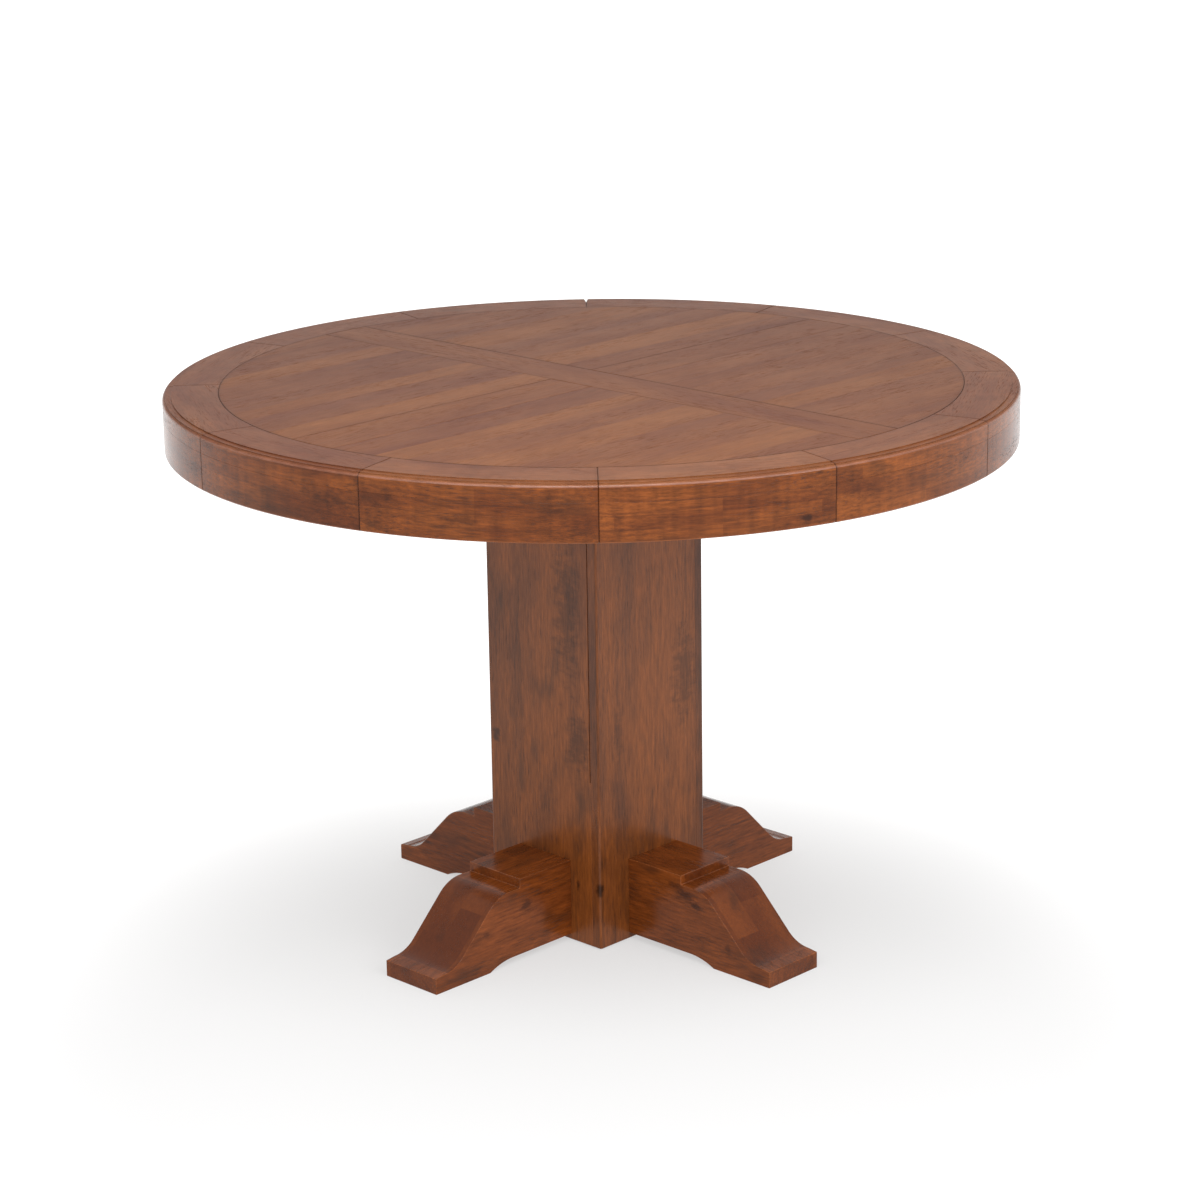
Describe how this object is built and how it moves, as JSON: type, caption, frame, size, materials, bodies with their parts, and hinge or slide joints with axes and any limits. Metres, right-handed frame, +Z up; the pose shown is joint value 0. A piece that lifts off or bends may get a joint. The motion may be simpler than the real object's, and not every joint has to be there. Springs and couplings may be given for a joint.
{
  "type": "round pedestal table",
  "caption": "Round dining table in stained oak: a bordered top crossed by bars, an apron, a square box column and scrolled feet.",
  "frame": {"origin": "on the floor, on the column's axis", "axes": "+Z up; +X along the long bar of the top, over the front foot; +Y along the staves, over the left foot"},
  "size_m": [1.15, 1.15, 0.77],
  "materials": {
    "panel_oak": "stained rosy brown oak under satin lacquer, in staves of uneven tone",
    "bar_oak": "stained rosy brown oak under satin lacquer",
    "border_oak": "stained brown oak under satin lacquer, grain along each segment",
    "apron_oak": "stained orange-brown oak under satin lacquer, grain along each segment",
    "column_oak": "stained orange-brown oak under satin lacquer, upright grain",
    "foot_oak": "stained orange-brown oak under satin lacquer, grain along the foot",
    "frame_wood": "plain sanded wood",
    "dowel_wood": "plain beech",
    "screw_steel": "yellow zinc plate",
    "bolt_steel": "bright zinc plate",
    "insert_brass": "turned brass"
  },
  "bodies": {
    "root": {"apron_dowels": "dowel_wood", "apron_segment_01": "apron_oak", "apron_segment_02": "apron_oak", "apron_segment_03": "apron_oak", "apron_segment_04": "apron_oak", "apron_segment_05": "apron_oak", "apron_segment_06": "apron_oak", "apron_segment_07": "apron_oak", "apron_segment_08": "apron_oak", "apron_segment_09": "apron_oak", "apron_segment_10": "apron_oak", "apron_segment_11": "apron_oak", "apron_segment_12": "apron_oak", "bar_long": "bar_oak", "bar_short_left": "bar_oak", "bar_short_right": "bar_oak", "batten_1": "frame_wood", "batten_2": "frame_wood", "batten_3": "frame_wood", "batten_4": "frame_wood", "batten_screws": "screw_steel", "bearer_cross": "frame_wood", "bearer_long": "frame_wood", "bearer_screws": "screw_steel", "column_base_block": "frame_wood", "column_board_back": "column_oak", "column_board_front": "column_oak", "column_board_left": "column_oak", "column_board_right": "column_oak", "column_corner_blocks": "frame_wood", "column_head_block": "frame_wood", "foot_back": "foot_oak", "foot_bolts": "bolt_steel", "foot_front": "foot_oak", "foot_inserts": "insert_brass", "foot_left": "foot_oak", "foot_right": "foot_oak", "foot_washers": "bolt_steel", "head_bolts": "bolt_steel", "head_nuts": "bolt_steel", "head_washers": "bolt_steel", "panel_1": "panel_oak", "panel_2": "panel_oak", "panel_3": "panel_oak", "panel_4": "panel_oak", "ring_dowels": "dowel_wood", "ring_segment_01": "border_oak", "ring_segment_02": "border_oak", "ring_segment_03": "border_oak", "ring_segment_04": "border_oak", "ring_segment_05": "border_oak", "ring_segment_06": "border_oak", "ring_segment_07": "border_oak", "ring_segment_08": "border_oak", "ring_segment_09": "border_oak", "ring_segment_10": "border_oak", "ring_segment_11": "border_oak", "ring_segment_12": "border_oak"}
  },
  "joints": []
}
